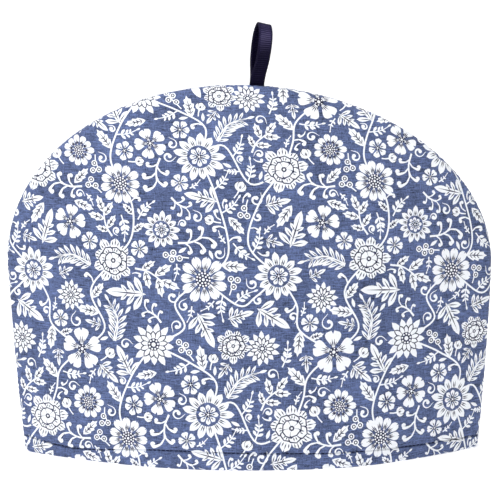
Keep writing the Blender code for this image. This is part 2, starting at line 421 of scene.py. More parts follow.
def leaf_spray(length, leaf=0.46):
    """Stalk with veined leaves at both sides and one at its tip."""
    stem = curve([0j, length * (0.3 + 0.06j), length * 0.62], 4)
    shapes = [band(stem, np.linspace(1.4, 0.9, len(stem)))]
    leaves = ((0.25, 1, 0.8), (0.4, -1, 0.9), (0.75, 1, 1.0), (0.85, -1, 0.95), (1.0, 0, 1.0))
    for share, side, size in leaves:
        at = stem[round(share * (len(stem) - 1))]
        grown = veined_leaf(length * leaf * size, length * leaf * size * 0.44, 2)
        shapes += moved(grown, side * 0.95, at)
    return shapes


def berries(count, radius=2.3):
    """Round berries on a stalk, each with a pale ring."""
    spots = np.array([0, 2.25 + 0.8j, 0.9 + 2.3j, 3.3 + 2.8j, 1.9 + 4.4j, 4.2 + 4.9j])[:count] * radius
    stalk = curve([radius * (-2.6 - 1.2j), -0.8 * radius, 0.9 * spots[-1]], 4)
    shapes = [band(stalk, np.full(len(stalk), 0.9))]
    for spot in spots:
        for tone, share, corners in ((WHITE, 1.0, 12), (LINE, 0.64, 9), (WHITE, 0.34, 6)):
            shapes.append((tone, disc(share * radius, spot, corners)))
    return shapes


def curl(size, turns=0.85, width=1.7):
    """Tendril that winds in to a round end."""
    t = np.linspace(0, 1, 13)
    winding = size * (1 - 0.72 * t) * np.exp(2j * math.pi * turns * t) - size
    line = np.concatenate([size * np.array([0.1 - 0.9j, 0.02 - 0.45j]), winding])
    widths = width * np.concatenate([[0.15, 0.28], 0.35 + 0.9 * t])
    return [band(line, widths), (WHITE, disc(0.85 * width, line[-1], 9))]


def comma(length, hook=0.5):
    """Drop that bends over and ends round, like a scroll's leaf."""
    line = curve([0j, length * (0.45 + 0.05j), length * (0.85 + 0.35j), length * (0.72 + hook * 1j)], 4)
    widths = length * np.linspace(0.08, 0.26, len(line))
    shapes = [band(line, widths), (WHITE, disc(0.17 * length, line[-1], 8))]
    return shapes + ([mark(line[3], line[-2], 0.8)] if length > 7 else [])


def scroll(length):
    """Branch of commas that open to both sides."""
    stem = curve([0j, length * (0.35 + 0.06j), length * 0.7], 4)
    shapes = [band(stem, np.linspace(1.5, 1.1, len(stem)))]
    commas = ((0.2, 1, 0.34), (0.38, -1, 0.38), (0.6, 1, 0.42), (0.8, -1, 0.40), (1.0, 1, 0.44))
    for share, side, size in commas:
        at = stem[round(share * (len(stem) - 1))]
        shapes += moved(comma(length * size), side * 0.35 * (2.4 - 1.6 * share), at, side < 0)
    return shapes


def bud(radius):
    """Side-on bud: three petals in two sepals."""
    shapes = []
    for turn, share in ((0.42, 0.9), (-0.42, 0.9), (0.0, 1.0)):
        swing = cmath.rect(1, turn)
        shapes.append((LINE, blade(radius * share + 0.4, 0.62 * radius + 0.7, 1.7, 0.6, 6) * swing))
        shapes.append((WHITE, blade(radius * share, 0.6 * radius, 1.7, 0.6, 6) * swing))
    for turn in (0.95, -0.95):
        shapes.append((WHITE, blade(0.7 * radius, 0.24 * radius, 0.9, 0.8, 5) * cmath.rect(1, turn)))
    stalk = radius * np.array([-0.8 + 0.15j, -0.35 + 0.03j, 0.02])
    return shapes + streaks(0.0, 0.2 * radius, 0.5 * radius, 0.16, 3, 0.5) + [band(stalk, (0.9, 0.9, 1.1))]


def grown(cells, by):
    """A mask of cells grown by a distance. It wraps at the repeat's edges."""
    reach = math.ceil(by / CELL)
    out = cells.copy()
    for i in range(-reach, reach + 1):
        for j in range(-reach, reach + 1):
            if math.hypot(i, j) * CELL <= by + 0.01:
                out |= np.roll(cells, (i, j), (0, 1))
    return out


def covered(shapes):
    """The cells of one repeat that the white shapes cover, with the shapes' origin at cell 0, 0."""
    cells = np.zeros((CELLS, CELLS), bool)
    centre = CELLS // 2
    axis = (np.arange(CELLS) - centre) * CELL
    for tone, line in shapes:
        if tone != WHITE:
            continue
        columns = np.flatnonzero((axis > line.real.min() - CELL) & (axis < line.real.max() + CELL))
        rows = np.flatnonzero((axis > line.imag.min() - CELL) & (axis < line.imag.max() + CELL))
        x, y = np.meshgrid(axis[columns], axis[rows], indexing="ij")
        inside = np.zeros(x.shape, bool)
        for a, b in zip(line, np.roll(line, 1)):
            if a.imag != b.imag:
                crossing = a.real + (y - a.imag) * (b.real - a.real) / (b.imag - a.imag)
                inside ^= ((a.imag > y) != (b.imag > y)) & (x < crossing)
        cells[np.ix_(columns, rows)] |= inside
        corner = np.rint(line / CELL)
        cells[corner.real.astype(int) + centre, corner.imag.astype(int) + centre] = True
    return np.roll(cells, (-centre, -centre), (0, 1))


def overlap(taken, cells):
    """How many of the cells are taken, for every place where they could be put."""
    product = np.fft.rfft2(taken.astype(float)) * np.conj(np.fft.rfft2(cells.astype(float)))
    return np.rint(np.fft.irfft2(product, cells.shape))


class Repeat:
    """One repeat of the print: its shapes, back to front, and the cells that they take."""

    def __init__(self, seed):
        self.shapes = []
        self.taken = np.zeros((CELLS, CELLS), bool)
        self.chance = random.Random(seed)

    def put(self, shapes, at):
        """Adds shapes at a place, and returns the cells that they take."""
        self.shapes += moved(shapes, at=at)
        step = (round(at.real / CELL), round(at.imag / CELL))
        cells = np.roll(covered(shapes), step, (0, 1))
        self.taken |= cells
        return cells

    def stem(self, places, width):
        """Adds a smooth stem, and returns its line."""
        line = curve(places, 8)
        middle = line[len(line) // 2]
        self.put([band(line - middle, np.full(len(line), width))], middle)
        return line

    def grow_leaves(self, line, motifs, blooms):
        """Adds leaves to alternate sides of a stem, where they fit and no bloom lies over it."""
        along = np.concatenate([[0], np.cumsum(np.abs(np.diff(line)))])
        distance, side = 0.6 * LEAF_SPACING, 1
        while distance < along[-1] - 4:
            step = int(np.searchsorted(along, distance)) - 1
            heading = line[step + 1] - line[step]
            at = line[step] + heading * (distance - along[step]) / abs(heading)
            place = (round(at.real / CELL), round(at.imag / CELL))
            if blooms[place[0] % CELLS, place[1] % CELLS]:
                distance += 1
                continue
            turn = cmath.phase(heading) + side * self.chance.uniform(0.7, 1.1)
            motif = self.chance.choice(motifs)
            for size in (1.0, 0.8, 0.6):
                leaf = moved(motif(size), turn, mirrored=side < 0)
                clash = self.taken & np.roll(grown(covered(leaf), LEAF_GAP), place, (0, 1))
                if clash.sum() <= LEAF_CROWDING:
                    self.put(leaf, at)
                    break
            side = -side
            distance += LEAF_SPACING * self.chance.uniform(0.8, 1.2)

    def fill(self, motifs, gap):
        """Adds motifs in turn, each as snugly as it will go, until none fits any more."""
        left = [[motif, sizes, most] for motif, sizes, most in motifs]
        while left:
            for row in list(left):
                motif, sizes, most = row
                row[2] = most - 1
                if not self.squeeze(motif, sizes, gap) or most == 1:
                    left.remove(row)

    def squeeze(self, motif, sizes, gap, tries=3):
        """Adds one motif where it is snug against its neighbours, at the best of a few turns."""
        best = (0.0, None, 0j)
        for _ in range(tries):
            turn, mirrored = self.chance.uniform(0, 2 * math.pi), self.chance.random() < 0.5
            shapes = moved(motif(self.chance.choice(sizes)), turn, mirrored=mirrored)
            clear = grown(covered(shapes), gap)
            collar = grown(clear, 2 * CELL) & ~clear
            snug = np.where(overlap(self.taken, clear) == 0, overlap(self.taken, collar) / collar.sum(), -1)
            if snug.max() > best[0]:
                spots = np.flatnonzero(snug >= SNUG_ENOUGH * snug.max())
                spot = divmod(int(self.chance.choice(spots)), CELLS)
                best = (snug.max(), shapes, complex(*spot) * CELL)
        if best[1] is None:
            return False
        self.put(best[1], best[2])
        return True


# Large and middling flowers, listed: the kind, where, how large, how far turned in degrees.
FLOWERS = (
    (full_flower, 28 + 30j, 18.0, 10),
    (rayed_flower, 92 + 20j, 16.0, 30),
    (ringed_flower, 150 + 40j, 18.5, 0),
    (wide_flower, 58 + 82j, 15.5, 20),
    (star_flower, 112 + 88j, 16.5, 50),
    (ringed_flower, 20 + 136j, 17.0, 15),
    (full_flower, 84 + 146j, 17.0, 0),
    (rayed_flower, 148 + 134j, 17.5, 45),
    (rayed_flower, 62 + 44j, 12.5, 0),
    (star_flower, 8 + 86j, 12.5, 10),
    (wide_flower, 116 + 50j, 12.0, 40),
    (full_flower, 168 + 88j, 13.0, 30),
    (wide_flower, 52 + 172j, 12.5, 5),
    (ringed_flower, 120 + 168j, 13.5, 0),
    (star_flower, 50 + 120j, 11.5, 0),
)
# Stems from flower to flower, each through a few places.
STEMS = (
    (28 + 30j, 36 + 50j, 40 + 66j, 58 + 82j),
    (58 + 82j, 76 + 98j, 66 + 124j, 84 + 146j),
    (84 + 146j, 98 + 162j, 100 + 184j, 92 + 200j),
    (92 + 20j, 86 + 40j, 96 + 66j, 112 + 88j),
    (112 + 88j, 134 + 100j, 128 + 118j, 148 + 134j),
    (148 + 134j, 166 + 152j, 160 + 190j, 150 + 220j),
    (150 + 40j, 156 + 62j, 138 + 76j, 112 + 88j),
    (20 + 136j, 32 + 116j, 34 + 98j, 58 + 82j),
    (20 + 136j, 0 + 158j, 10 + 188j, 28 + 210j),
    (28 + 30j, 4 + 20j, -12 + 48j, -30 + 40j),
    (148 + 134j, 172 + 116j, 184 + 122j, 200 + 136j),
)
STEM_LEAVES = (
    lambda size: lobed_leaf(24 * size),
    lambda size: veined_leaf(18 * size, 8 * size),
    lambda size: sprig(17 * size, 3),
    lambda size: curl(4.4 * size),
    lambda size: comma(9 * size),
)
# What fills the rest, large motifs first: the motif, its sizes, how many at most.
LARGE_FILLING = (
    (feathered_leaf, (34, 30), 4),
    (leaf_spray, (32, 28), 4),
    (lobed_leaf, (30, 27), 5),
    (scroll, (28, 25), 4),
)
MIDDLE_FILLING = (
    (lambda size: round_flower(size, 6), (8.4, 7.6), 9),
    (lambda size: lobed_leaf(size, 3), (22, 19), 7),
    (lambda size: sprig(size, 4), (20, 17), 9),
    (berries, (6, 4, 3), 8),
    (lambda size: veined_leaf(size, 0.42 * size), (19, 16), 7),
    (scroll, (21, 18), 4),
    (wide_flower, (7.4, 6.6), 5),
    (lambda size: lobed_leaf(size, 2), (16, 13), 12),
    (bud, (7.5, 6.5), 6),
    (curl, (5.0, 4.0), 12),
)
SMALL_FILLING = (
    (lambda size: sprig(size, 2), (11, 9), 10),
    (comma, (8, 6.5), 8),
    (lambda size: [pointed(size, 0.36, 0.0, 0j, 1.2)], (9, 7), 9),
    (curl, (3.2, 2.8), 6),
)


def draw_repeat():
    """Draws the repeat: stems, the listed flowers, leaves along the stems, then the filling."""
    repeat = Repeat(seed=5)
    stems = [repeat.stem(places, STEM_WIDTH) for places in STEMS]
    blooms = np.zeros((CELLS, CELLS), bool)
    for flower, at, radius, turn in FLOWERS:
        blooms |= repeat.put(moved(flower(radius), math.radians(turn)), at)
    for line in stems:
        repeat.grow_leaves(line, STEM_LEAVES, blooms)
    for motifs, gap in ((LARGE_FILLING, 1.7), (MIDDLE_FILLING, 1.6), (SMALL_FILLING, 1.4)):
        repeat.fill(motifs, gap)
    return repeat.shapes


# ---------------------------------------------------------------- the padding's surface

def smooth(t):
    """Eased 0 to 1, held at both ends."""
    t = np.clip(t, 0.0, 1.0)
    return t * t * (3 - 2 * t)


def drift(z):
    """Sideways shift of the whole outline at a level."""
    return -DRIFT * np.maximum(0.0, z - STRAIGHT_LEVEL) ** 2


def side_half(z):
    """Half width of the seam's outline at a level below the widest one."""
    t = np.minimum(1.0, z / WIDEST_LEVEL)
    return HEM_HALF + (WIDEST_HALF - HEM_HALF) * t * (1.5 - 0.5 * t)


def hem_line(x):
    """Level of the stitched ditch, which falls from left to right and sags at the left."""
    sag = HEM_SAG * np.exp(-(((x - HEM_SAG_AT) / HEM_SAG_REACH) ** 2))
    return HEM_HEIGHT - HEM_SLOPE * x / HEM_HALF - sag


def closeness(x, z, inset):
    """0 on the panel's middle line, 1 on the outline drawn in by inset."""
    low = (x / (side_half(z) - inset)) ** 2
    high = (x / (WIDEST_HALF - inset)) ** 2 + ((z - WIDEST_LEVEL) / (DOME_RISE - inset)) ** 2
    return np.where(z <= WIDEST_LEVEL, low, high)


def lens(z, extra, near):
    """Bulge of the panel, as a share of its depth in the middle at a level. near is 1 at the edge."""
    return (BULGE_AT_HEM + (BULGE_AT_CROWN - BULGE_AT_HEM) * z / CROWN + extra) * (1 - near)


def dent(x, z, dents):
    """Height of the soft dents and swells, which die out towards the seam."""
    total = np.zeros_like(x)
    for dent_x, dent_z, radius, rise in dents:
        total += rise * np.exp(-2 * ((x - dent_x) ** 2 + (z - dent_z) ** 2) / radius**2)
    return total * smooth((1 - closeness(x, z, 0)) * 4)


def hem_sink(x, z):
    """How far the hem's ditch, its thinner band and its rounded foot lie under the padding."""
    line = hem_line(x)
    deepness = DITCH_DEPTH + DITCH_DEEPER_AT_SIDE * (x / HEM_HALF) ** 2
    ditch = deepness * np.exp(-(((z - line) / DITCH_REACH) ** 2))
    recess = HEM_RECESS * (1 - smooth((z - line) / line + 0.5))
    foot = np.clip(1 - z / FOOT_ROUND, 0.0, 1.0)
    return ditch + recess + FOOT_ROUND * (1 - np.sqrt(1 - foot**2))


def mouth(x, z):
    """How far the ribbon holds the seam's two faces apart."""
    away = np.abs(x + drift(z) - LOOP_ROOT_X)
    return (LEG_SPREAD + RIBBON_THICK / 2) * smooth(2 - 2 * away / MOUTH_HALF) * (z > 0.2)


def inner_depth(x, z, dents):
    """Distance of the inside from the seam plane."""
    line = hem_line(x)
    thinner = HEM_THINNER * (1 - smooth((z - line) / line))
    bulge = lens(z, PUFF - WALL + thinner, np.minimum(1, closeness(x, z, SEAM_FACE)))
    return SEAM_GAP / 2 + bulge + dent(x, z, dents) + mouth(x, z) * (closeness(x, z, SEAM_FACE) > 0.999)


def outline(place, inset):
    """Right half of the outline, drawn in. place is 0 at the crown, 1 at the widest level, 2 at the foot."""
    angle = math.pi / 2 * (1 - np.minimum(place, 1))
    x, z = WIDEST_HALF * np.cos(angle), DOME_RISE * np.sin(angle)
    normal_x, normal_z = x / WIDEST_HALF**2, z / DOME_RISE**2
    size = np.hypot(normal_x, normal_z)
    dome = np.stack([x - inset * normal_x / size, WIDEST_LEVEL + z - inset * normal_z / size], -1)
    level = WIDEST_LEVEL * (2 - np.clip(place, 1, 2))
    foot = np.clip(1 - level / CORNER_ROUND, 0.0, 1.0)
    rounding = CORNER_ROUND * (1 - np.sqrt(1 - foot**2)) * np.maximum(0.0, 1 - inset / (2 * SEAM_FACE))
    side = np.stack([side_half(level) - inset - rounding, level + 0 * x], -1)
    return np.where(np.asarray(place)[..., None] <= 1, dome, side)


# ---------------------------------------------------------------- flat cloth and the way it lies

MIRROR = np.array([-1.0, 1.0])


def arc(places, heights):
    """Length along a section from its first place to each of its places."""
    return np.concatenate([[0], np.cumsum(np.hypot(np.diff(places), np.diff(heights)))])


def unit(vectors):
    """Vectors made 1 long."""
    return vectors / np.maximum(np.linalg.norm(vectors, axis=-1, keepdims=True), 1e-12)


def left_of(headings):
    """Headings turned a quarter to the left."""
    return np.stack([-headings[:, 1], headings[:, 0]], -1)


MID_BULGE = (BULGE_AT_HEM + BULGE_AT_CROWN) / 2
ACROSS = np.linspace(-0.2, 0.2, 2401)
FLAT_ACROSS = arc(ACROSS, MID_BULGE * (1 - (ACROSS / WIDEST_HALF) ** 2))
FLAT_ACROSS -= np.interp(0.0, ACROSS, FLAT_ACROSS)
UP = np.linspace(0.0, 0.3, 1801)
FLAT_UP = arc(UP, MID_BULGE * (1 - (np.maximum(0, UP - WIDEST_LEVEL) / DOME_RISE) ** 2))


def flattened(places):
    """Places (x, z) of the padding as places on the flat cloth."""
    x, z = places[..., 0], places[..., 1]
    return np.stack([np.interp(x, ACROSS, FLAT_ACROSS), np.interp(z, UP, FLAT_UP)], -1)


# The padding's edge on the flat cloth, right half, from the crown to the foot.
EDGE_PLACES = np.concatenate([np.linspace(0, 1.97, 1500), 2 - 0.03 * np.linspace(1, 0, 300)[1:] ** 2])
EDGE = flattened(outline(EDGE_PLACES, ROLL))
EDGE_ALONG = arc(EDGE[:, 0], EDGE[:, 1])
DOME_ALONG = float(np.interp(1.0, EDGE_PLACES, EDGE_ALONG))
EDGE_HEADING = np.gradient(EDGE, EDGE_ALONG, axis=0)


def edge_at(along):
    """Place and heading of the padding's edge, on the flat cloth, at a distance from the crown."""
    place = np.stack([np.interp(along, EDGE_ALONG, EDGE[:, i]) for i in (0, 1)], -1)
    heading = np.stack([np.interp(along, EDGE_ALONG, EDGE_HEADING[:, i]) for i in (0, 1)], -1)
    heading[along > DOME_ALONG] = (0.0, -1.0)
    return place, unit(heading)


def edge_of(flat):
    """For flat places of the right half: how far along the padding's edge they lie, and how far out."""
    x, z = np.interp(flat[:, 0], FLAT_ACROSS, ACROSS), np.interp(flat[:, 1], FLAT_UP, UP)
    angle = np.arctan2((z - WIDEST_LEVEL) / DOME_RISE, x / WIDEST_HALF)
    low = z <= WIDEST_LEVEL
    place = np.where(low, 2 - z / WIDEST_LEVEL, 1 - angle / (math.pi / 2))
    along = np.interp(place, EDGE_PLACES, EDGE_ALONG)
    for _ in range(6):
        near, heading = edge_at(along)
        step = ((flat - near) * heading).sum(-1)
        along = np.where(low, along, np.clip(along + step, 0, DOME_ALONG))
    near, heading = edge_at(along)
    away = ((flat - near) * left_of(heading)).sum(-1)
    return along, np.where(low, flat[:, 0] - near[:, 0], away)


def off_edge(along, out):
    """Flat place at a distance out from the padding's edge, right half."""
    place, heading = edge_at(along)
    return place + out * left_of(heading)


def pucker(along):
    """Height of the seam's puckers along it."""
    total = 0.0
    for length, share, sway in PUCKER_WAVES:
        wander = PUCKER_WANDER * np.sin(2 * math.pi * along / sway)
        total = total + share * np.sin(2 * math.pi * along / length + wander)
    fade = 1 - PUCKER_FADE * smooth((along - PUCKER_FADES_FROM) / PUCKER_FADE_LENGTH)
    surge = 1 - PUCKER_SURGE + PUCKER_SURGE * np.sin(2 * math.pi * along / PUCKER_SURGE_LENGTH + 1)
    return PUCKER * total * fade * surge


def laid(flat, facing, dents):
    """Places in space of flat cloth laid over the padding. facing is -1 in front and 1 behind."""
    hand = np.where(flat[:, 0] < 0, -1.0, 1.0)
    right = np.stack([flat[:, 0] * hand, flat[:, 1]], -1)
    along, out = edge_of(right)
    window = smooth((ROLL_REACH - out) / PUCKER_EASE_OUTWARD)
    window *= smooth((out + PUCKER_INWARD) / PUCKER_EASE_INWARD)
    swell = pucker(along * hand * -facing) * window
    turn = np.clip(out, 0, None) / ROLL
    rolled = outline(np.interp(along, EDGE_ALONG, EDGE_PLACES), ROLL - (ROLL + swell) * np.sin(turn))
    core_x, core_z = np.interp(right[:, 0], FLAT_ACROSS, ACROSS), np.interp(right[:, 1], FLAT_UP, UP)
    on_roll = out > 0
    x = np.where(on_roll, rolled[:, 0], core_x) * hand * -facing
    z = np.where(on_roll, rolled[:, 1], core_z)
    puff = PUFF - ROLL + (ROLL + swell) * np.cos(turn)
    bulge = lens(z, 0, closeness(x, z, 0)) * (turn < math.pi / 2)
    depth = SEAM_GAP / 2 + bulge + puff - hem_sink(x, z) * puff / PUFF + dent(x, z, dents)
    depth += mouth(x, z) * smooth((turn - MOUTH_FROM_TURN) / (ROLL_TURN - MOUTH_FROM_TURN))
    return np.stack([x + drift(z), facing * depth, z], -1)


def outward(flat, facing, dents, step=0.00005):
    """Unit normals of the laid cloth."""
    across, up = (
        laid(flat + nudge, facing, dents) - laid(flat - nudge, facing, dents) for nudge in np.eye(2) * step)
    return unit(np.cross(across, up))


# ---------------------------------------------------------------- cutting the panels

def both_halves(right):
    """Flat places of the right half, and the same mirrored to the left."""
    return np.concatenate([right, right * MIRROR])


def cut_line():
    """The flat panel's outline: along the foot to the right, up, over the crown and down."""
    foot = FOOT_FINE * np.linspace(0, 1, 14) ** 2
    levels = np.concatenate([foot, np.arange(FOOT_FINE + 0.0005, WIDEST_LEVEL, SEAM_STEP)])
    low = np.interp(2 - levels / WIDEST_LEVEL, EDGE_PLACES, EDGE_ALONG)
    dome = np.arange(DOME_ALONG, 0, -SEAM_STEP)
    right = off_edge(np.concatenate([low, dome]), ROLL_REACH)
    half = right[0, 0]
    bottom = np.linspace(-half, half, round(2 * half / FOOT_STEP))[1:-1]
    crown = off_edge(np.zeros(1), ROLL_REACH) * (0.0, 1.0)
    return np.concatenate([np.stack([bottom, 0 * bottom], -1), right, crown, (right * MIRROR)[::-1]])


def ditch_level(u, facing):
    """Level of the ditch at a place across the flat cloth."""
    return hem_line(-facing * np.interp(u, FLAT_ACROSS, ACROSS))


def grid_places(facing):
    """Flat places that carry the padding's form: a grid, rows beside the seam, rows at the hem."""
    columns = np.arange(0.5, 50) * CORE_STEP
    rows = np.arange(1, 80) * CORE_STEP
    core = np.stack(np.meshgrid(columns, rows), -1).reshape(-1, 2)
    core[:, 0] += 0.25 * CORE_STEP * (np.round(core[:, 1] / CORE_STEP) % 2)
    core = core[edge_of(core)[1] < SEAM_ROWS[0] - CORE_STEP / 2]
    core = both_halves(core)
    core = core[core[:, 1] > 1.1 * HEM_ROWS[-1] * ditch_level(core[:, 0], facing)]
    seam, hem = [], []
    for k, out in enumerate(SEAM_ROWS):
        step = SEAM_STEP if out > SEAM_FINE_FROM else 3 * SEAM_STEP
        seam.append(off_edge(np.arange(SEAM_STEP * (0.25 + 0.5 * (k % 2)), EDGE_ALONG[-1], step), out))
    seam = np.concatenate(seam)
    for k, height in enumerate(HEM_ROWS):
        hem += [(u, height) for u in np.arange(HEM_STEP * (1 + k % 2) / 4, HEM_REACH, HEM_STEP)]
    hem = both_halves(np.array(hem))
    hem[:, 1] *= ditch_level(hem[:, 0], facing)
    hem = hem[edge_of(np.abs(hem))[1] < SEAM_ROWS[2]]
    return np.concatenate([core, both_halves(seam[seam[:, 1] > FOOT_CLEAR]), hem])


def anticlockwise(line):
    """An outline turned the way round that the cutting needs."""
    doubled_area = (np.conj(line) * np.roll(line, -1)).imag.sum()
    return line if doubled_area > 0 else line[::-1]


def sunk(line, facing):
    """An outline in millimetres, with close points where it crosses the ditch."""
    ends = np.roll(line, -1)
    level = MM * ditch_level(line.real / MM, facing)
    above, end_above = line.imag - level, ends.imag - level
    crosses = np.minimum(above, end_above) < MM * DITCH_BAND
    crosses &= np.maximum(above, end_above) > -MM * DITCH_BAND
    counts = np.where(crosses, np.ceil(np.abs(ends - line) / (MM * DITCH_STEP)), 1).astype(int)
    return np.concatenate([a + (b - a) * np.arange(count) / count for a, b, count in zip(line, ends, counts)])


def cut_panel(shapes, shift, facing):
    """Cuts a panel out of the printed cloth. Returns flat places, triangles, and each triangle's tone."""
    edge = cut_line() * MM
    places = list(edge[:, 0] + 1j * edge[:, 1])
    faces, tones = [list(range(len(places)))], [GROUND]
    (left, bottom), (right, top) = edge.min(0), edge.max(0)
    offsets = [shift + complex(i, j) * REPEAT for i in range(-3, 4) for j in range(-3, 4)]
    for tone, shape in shapes:
        for offset in offsets:
            line = anticlockwise(shape + offset)
            inside = line.real.max() > left and line.real.min() < right
            if inside and line.imag.max() > bottom and line.imag.min() < top:
                line = sunk(line, facing)
                faces.append(list(range(len(places), len(places) + len(line))))
                places.extend(line)
                tones.append(tone)
    grid = grid_places(facing) * MM
    places.extend(grid[:, 0] + 1j * grid[:, 1])
    spots = [Vector((place.real, place.imag)) for place in places]
    cut = delaunay_2d_cdt(spots, [], faces, 0, CUT_TOLERANCE, True)
    kept = [(tri, max(owners)) for tri, owners in zip(cut[2], cut[5]) if 0 in owners]
    flat = np.array([(place.x, place.y) for place in cut[0]]) / MM
    triangles = np.array([tri for tri, _ in kept])
    used, triangles = np.unique(triangles, return_inverse=True)
    return flat[used], triangles.reshape(-1, 3), np.array([tones[owner] for _, owner in kept])


def rim_of(flat, triangles):
    """The cut edge's corners and their keys, in order: -1 to 1 along the seam from the left foot to the
    right one, and on to 3 back along the foot."""
    sides = {(tri[i], tri[i - 2]) for tri in triangles.tolist() for i in range(3)}
    rim = np.array(sorted({start for start, end in sides if (end, start) not in sides}))
    u, v = flat[rim].T
    along = edge_of(np.abs(flat[rim]))[0]
    on_foot = v < 1e-6
    seam_keys = np.sign(u) * np.interp(along, EDGE_ALONG, EDGE_PLACES) / 2
    keys = np.where(on_foot, 2 - u / u[on_foot].max(), seam_keys)
    keys[keys > 2.999999] = -1.0
    order = np.argsort(keys)
    return rim[order], keys[order]


def cut_inside():
    """The panel's inner face: places (x, z) seen from outside, triangles, and its rim with its keys."""
    seam = np.concatenate([np.linspace(2, 1, INSIDE_SIDE_STEPS), np.linspace(1, 0, INSIDE_DOME_STEPS)[1:]])
    right = outline(seam, SEAM_FACE)
    half = right[0, 0]
    foot = np.linspace(half, -half, INSIDE_FOOT_STEPS)[1:-1]
    places = np.concatenate([right * MIRROR, right[-2::-1], np.stack([foot, 0 * foot], -1)])
    keys = np.concatenate([-seam / 2, seam[-2::-1] / 2, 2 - foot / half])
    columns = np.arange(-21.5, 22) * INSIDE_STEP
    grid = np.stack(np.meshgrid(columns, np.arange(0.5, 34) * INSIDE_STEP), -1).reshape(-1, 2)
    grid = grid[closeness(grid[:, 0], grid[:, 1], SEAM_FACE) < INSIDE_GRID_OUT]
    spots = [Vector(place) for place in (np.concatenate([places, grid]) * MM).tolist()]
    cut = delaunay_2d_cdt(spots, [], [list(reversed(range(len(places))))], 0, 0.001, True)
    back = [came_from[0] for came_from in cut[3]]
    triangles = [[back[corner] for corner in tri] for tri, owners in zip(cut[2], cut[5]) if owners]
    return np.concatenate([places, grid]), np.array(triangles), np.arange(len(places)), keys


def zipped(outer, outer_keys, inner, inner_keys):
    """Triangles between two rims, which step on in the order of their keys."""
    faces = []
    i = j = 0
    while i < len(outer) or j < len(inner):
        a, c = outer[i % len(outer)], inner[j % len(inner)]
        next_outer = outer_keys[i + 1] if i + 1 < len(outer) else 3.0
        next_inner = inner_keys[j + 1] if j + 1 < len(inner) else 3.0
        if j == len(inner) or (i < len(outer) and next_outer <= next_inner):
            i += 1
            faces.append((a, outer[i % len(outer)], c))
        else:
            j += 1
            faces.append((a, inner[j % len(inner)], c))
    return faces


def make_object(name, places, faces, material):
    """A linked, smooth-shaded mesh object."""
    mesh = bpy.data.meshes.new(name)
    mesh.from_pydata(places.tolist(), [], [tuple(face) for face in faces])
    mesh.materials.append(material)
    mesh.shade_smooth()
    made = bpy.data.objects.new(name, mesh)
    bpy.context.scene.collection.objects.link(made)
    return made


def padded_panel(name, facing, dents, shapes, shift, material):
    """One panel as a closed wall: the printed outside, the seam's and foot's faces, the plain inside. With it
    come the places across of the print that the ditch crosses, and which of them are pale."""
    flat, triangles, tones = cut_panel(shapes, shift, facing)
    outside = laid(flat, facing, dents)
    middles = flat[triangles].mean(1)
    in_ditch = np.abs(middles[:, 1] - ditch_level(middles[:, 0], facing)) < DITCH_REACH
    section, inside_triangles, inner_rim, inner_keys = cut_inside()
    x, z = -facing * section[:, 0], section[:, 1]
    inside = np.stack([x + drift(z), facing * inner_depth(x, z, dents), z], -1)
    outer_rim, outer_keys = rim_of(flat, triangles)
    inner_rim = inner_rim + len(flat)
    rim = np.array(zipped(outer_rim, outer_keys, inner_rim, inner_keys))
    faces = np.concatenate([triangles, rim, inside_triangles[:, ::-1] + len(flat)])
    made = make_object(name, np.concatenate([outside, inside]), faces, material)
    mesh = made.data

    # How the cloth runs, in metres, and the maps for the bake: outside, rim and inside apart.
    run = np.concatenate([flat, section])
    reach = flat[:, 0].max()
    bake = np.concatenate([
        BAKE_EDGE + (flat + np.array([reach, 0])) * (1 - 2 * BAKE_EDGE) / (2 * reach),
        np.array(BAKE_INSIDE_AT) + section * BAKE_INSIDE_SCALE,
    ])
    keys = np.zeros(len(run))
    keys[outer_rim], keys[inner_rim] = outer_keys, inner_keys
    corner = faces.reshape(-1)
    part = np.repeat(np.repeat([0, 1, 2], [len(triangles), len(rim), len(inside_triangles)]), 3)
    run_at, bake_at, key = run[corner], bake[corner], keys[corner]
    on_rim = part == 1
    wraps = np.repeat((key.reshape(-1, 3).max(1) - key.reshape(-1, 3).min(1)) > 2, 3)
    key = np.where(wraps & (key < 0), 3.0, key)
    across = (corner >= len(flat)) * SEAM_FACE
    rim_run = np.stack([key * EDGE_ALONG[-1], across], -1)
    rim_bake = BAKE_RIM_AT + np.stack([BAKE_RIM_LENGTH * (key + 1), BAKE_RIM_SCALE * across], -1)
    run_at[on_rim], bake_at[on_rim] = rim_run[on_rim], rim_bake[on_rim]
    for map_name, at in (("cloth", run_at), ("OFBake", bake_at)):
        layer = mesh.uv_layers.new(name=map_name)
        layer.uv.foreach_set("vector", at.astype(np.float32).reshape(-1))
    tone = mesh.attributes.new("print", "FLOAT", "FACE")
    tone.data.foreach_set("value", np.concatenate([tones, np.zeros(len(faces) - len(tones))]))

    # Normals from the form itself, so that the print's fine triangles don't show in the shading.
    corners = np.concatenate([outside, inside])[faces]
    flat_normals = unit(np.cross(corners[:, 1] - corners[:, 0], corners[:, 2] - corners[:, 0]))
    inside_normals = np.zeros_like(inside)
    for i in range(3):
        np.add.at(inside_normals, inside_triangles[:, i], flat_normals[-len(inside_triangles):])
    normals = np.concatenate([outward(flat, facing, dents), unit(inside_normals)])[corner]
    normals[on_rim] = np.repeat(flat_normals, 3, axis=0)[on_rim]
    mesh.normals_split_custom_set(normals.tolist())
    return made, middles[in_ditch, 0], tones[in_ditch] == WHITE


# ---------------------------------------------------------------- nodes

def add(tree, kind, **values):
    """A new node, with its own settings and the plain values of its inputs."""
    made = tree.nodes.new(kind)
    for label, value in values.items():
        if hasattr(made, label):
            setattr(made, label, value)
        else:
            made.inputs[label.replace("_", " ")].default_value = value
    return made


def link(tree, *sockets):
    """Links sockets in pairs, each an output and the input that it feeds."""
    for source, target in zip(sockets[::2], sockets[1::2]):
        tree.links.new(source, target)


